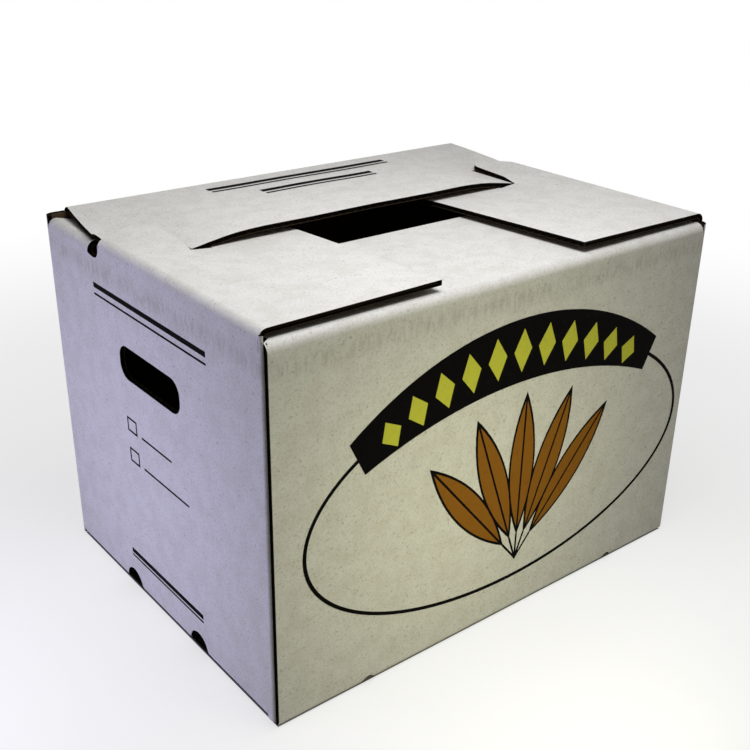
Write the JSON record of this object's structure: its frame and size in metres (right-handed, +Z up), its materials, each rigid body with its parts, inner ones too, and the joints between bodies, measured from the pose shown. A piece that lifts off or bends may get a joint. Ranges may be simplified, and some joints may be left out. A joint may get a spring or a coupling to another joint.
{
  "type": "corrugated produce carton",
  "caption": "Closed corrugated produce carton with interlocked top flaps, an oval hand hole in each end, vent holes along the bottom edges and plain printed ornament.",
  "frame": {"origin": "centre of the footprint, on the surface that the carton stands on", "axes": "+X along the length, from the left end panel to the right one; +Y from the printed front panel to the back; +Z up"},
  "size_m": [0.4222, 0.3142, 0.2983],
  "materials": {
    "white_board": "matte white-faced corrugated board, brown at the cut edges",
    "black_ink": "matte flexo ink",
    "yellow_ink": "matte flexo ink",
    "brown_ink": "matte flexo ink"
  },
  "bodies": {
    "root": {"carton": "white_board", "front_print_black": "black_ink", "front_print_yellow": "yellow_ink", "front_print_brown": "brown_ink", "end_print": "black_ink", "flap_print": "black_ink"}
  },
  "joints": []
}
